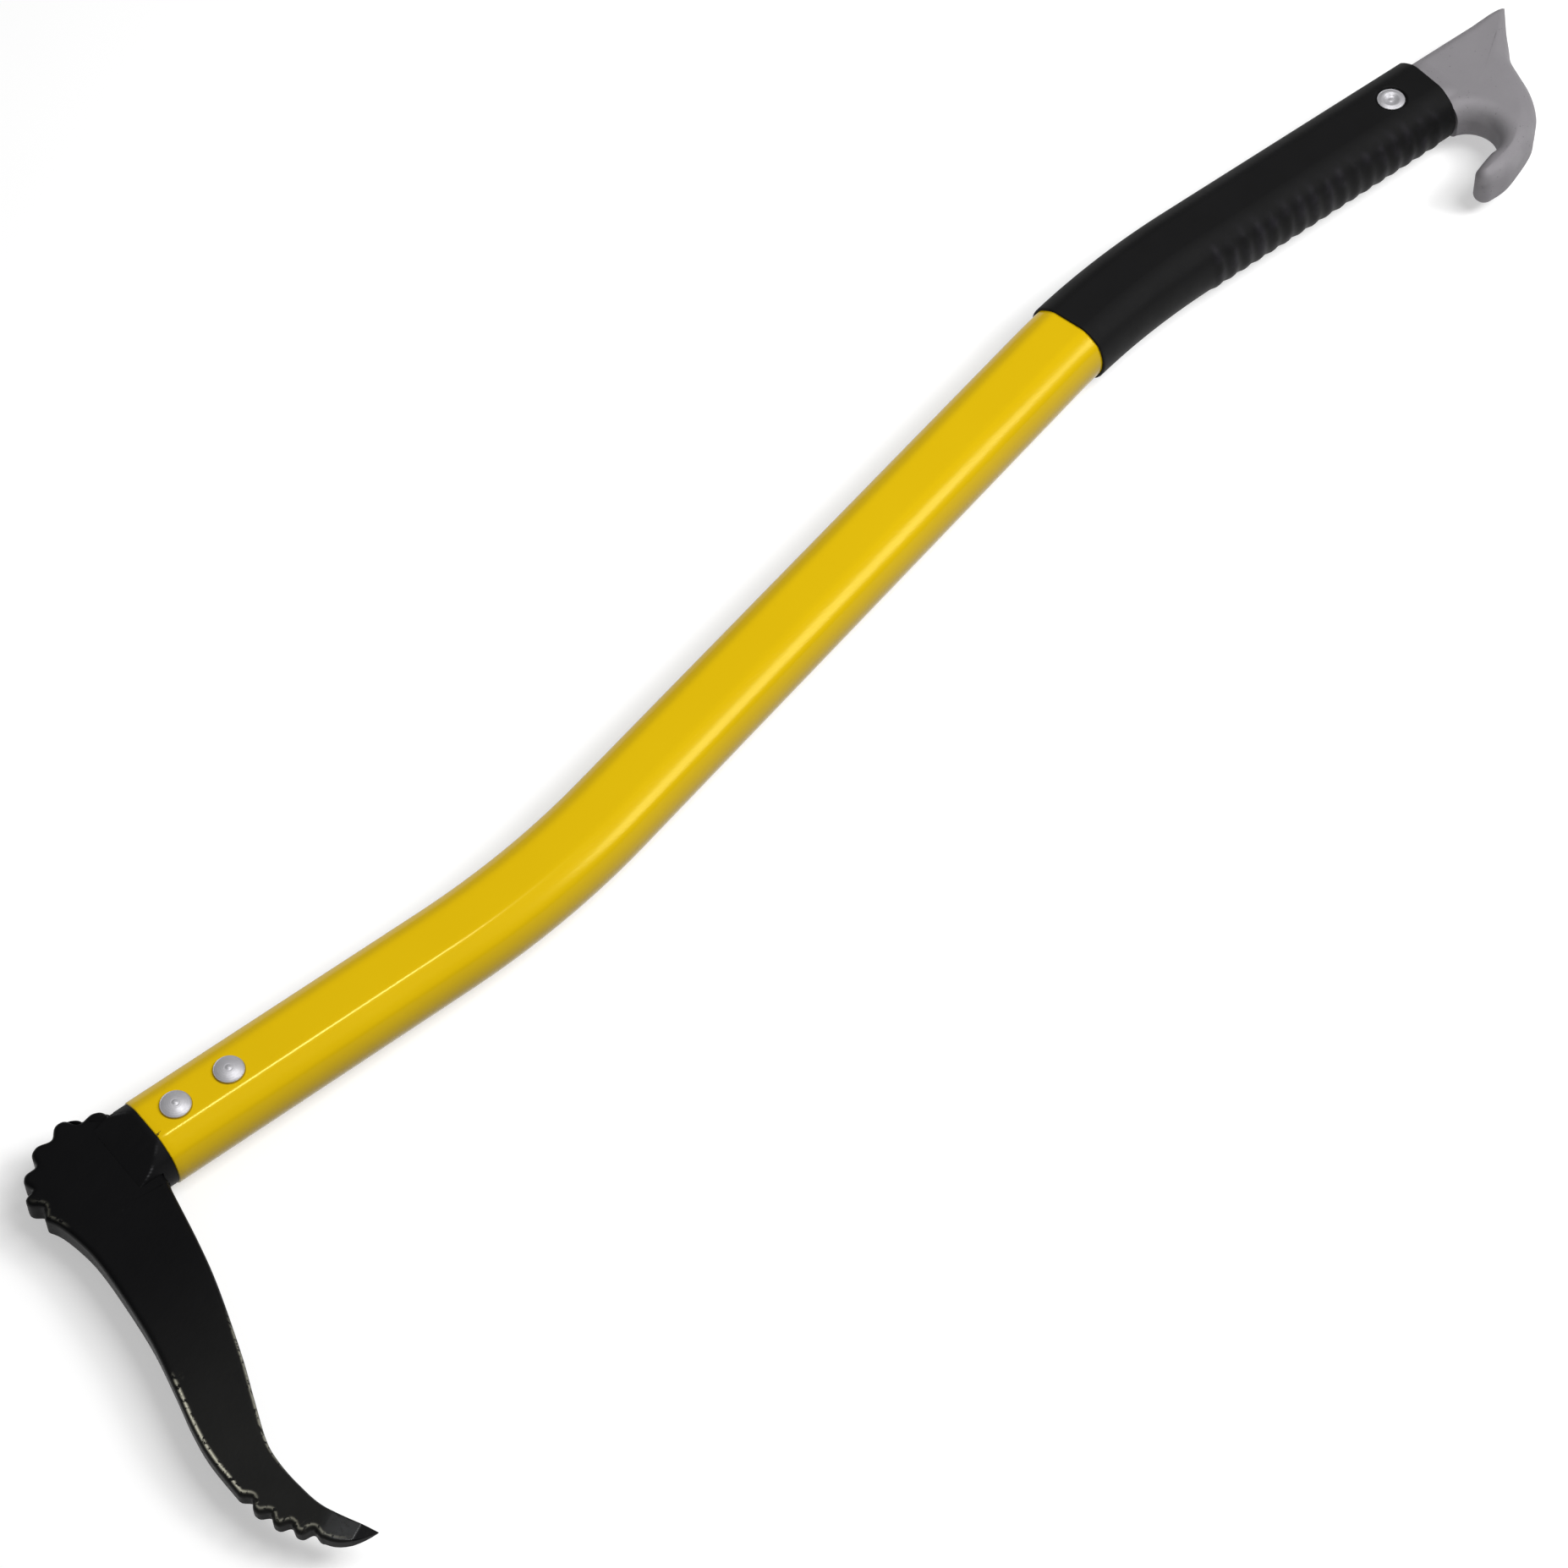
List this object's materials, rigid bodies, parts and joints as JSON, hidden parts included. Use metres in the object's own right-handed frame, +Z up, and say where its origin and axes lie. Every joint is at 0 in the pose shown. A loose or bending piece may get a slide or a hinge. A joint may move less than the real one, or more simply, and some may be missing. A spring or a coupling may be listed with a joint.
{
  "type": "sappie",
  "caption": "Forestry hand hook: forged steel hook with a scalloped poll and ground point, riveted to a bent aluminium handle with a ribbed rubber grip and a cast end hook.",
  "frame": {"origin": "under the middle of the tool, on the plane that it lies on", "axes": "+X along the handle's end stretches from the head towards the grip, +Y away from the hook's point, +Z up as the tool lies on its side"},
  "size_m": [0.714, 0.2466, 0.0279],
  "materials": {
    "black_paint": "satin",
    "black_nylon": "matte",
    "yellow_coat": "gloss",
    "rivet_metal": "satin",
    "black_rubber": "matte",
    "cast_metal": "satin"
  },
  "bodies": {
    "root": {"hook_head": "black_paint", "head_adapter": "black_nylon", "handle_tube": "yellow_coat", "head_rivet_front": "rivet_metal", "head_rivet_rear": "rivet_metal", "grip_sleeve": "black_rubber", "grip_rivet": "rivet_metal", "end_hook": "cast_metal"}
  },
  "joints": []
}
